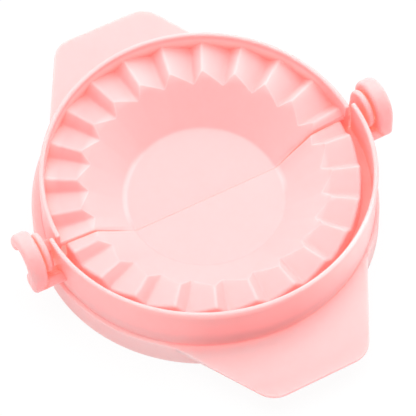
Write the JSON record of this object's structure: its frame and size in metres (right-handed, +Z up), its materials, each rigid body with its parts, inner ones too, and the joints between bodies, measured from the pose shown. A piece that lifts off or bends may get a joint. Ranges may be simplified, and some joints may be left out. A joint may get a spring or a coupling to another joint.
{
  "type": "empanada press",
  "caption": "Hand press for empanadas and dumplings, standing open: two hinged half-round bowls with saw-tooth crimping rings, rim walls, cutting feet and flat handles, in pink plastic.",
  "frame": {"origin": "on the table, at the centre of the open press, midway between the outer edges of its two handles", "axes": "+X along the hinge line towards the right end, +Y away from the front shell towards the back shell, +Z up"},
  "size_m": [0.1022, 0.1192, 0.0261],
  "materials": {
    "pink_plastic": "satin, slightly translucent pale pink polypropylene"
  },
  "bodies": {
    "front_half": {"front_bowl": "pink_plastic", "front_crimp_ring": "pink_plastic", "front_rim": "pink_plastic", "front_foot_ring": "pink_plastic", "front_handle": "pink_plastic", "left_hinge_bracket": "pink_plastic", "right_hinge_bracket": "pink_plastic"},
    "back_half": {"back_bowl": "pink_plastic", "back_crimp_ring": "pink_plastic", "back_rim": "pink_plastic", "back_foot_ring": "pink_plastic", "back_handle": "pink_plastic", "left_hinge_ear": "pink_plastic", "right_hinge_ear": "pink_plastic", "left_hinge_pin": "pink_plastic", "right_hinge_pin": "pink_plastic"}
  },
  "joints": [
    {"name": "main_hinge", "type": "hinge", "parent": "front_half", "child": "back_half", "pos_m": [0, -0.0005, 0.0168], "axis": [1, 0, 0], "range_deg": [0, 173]}
  ]
}
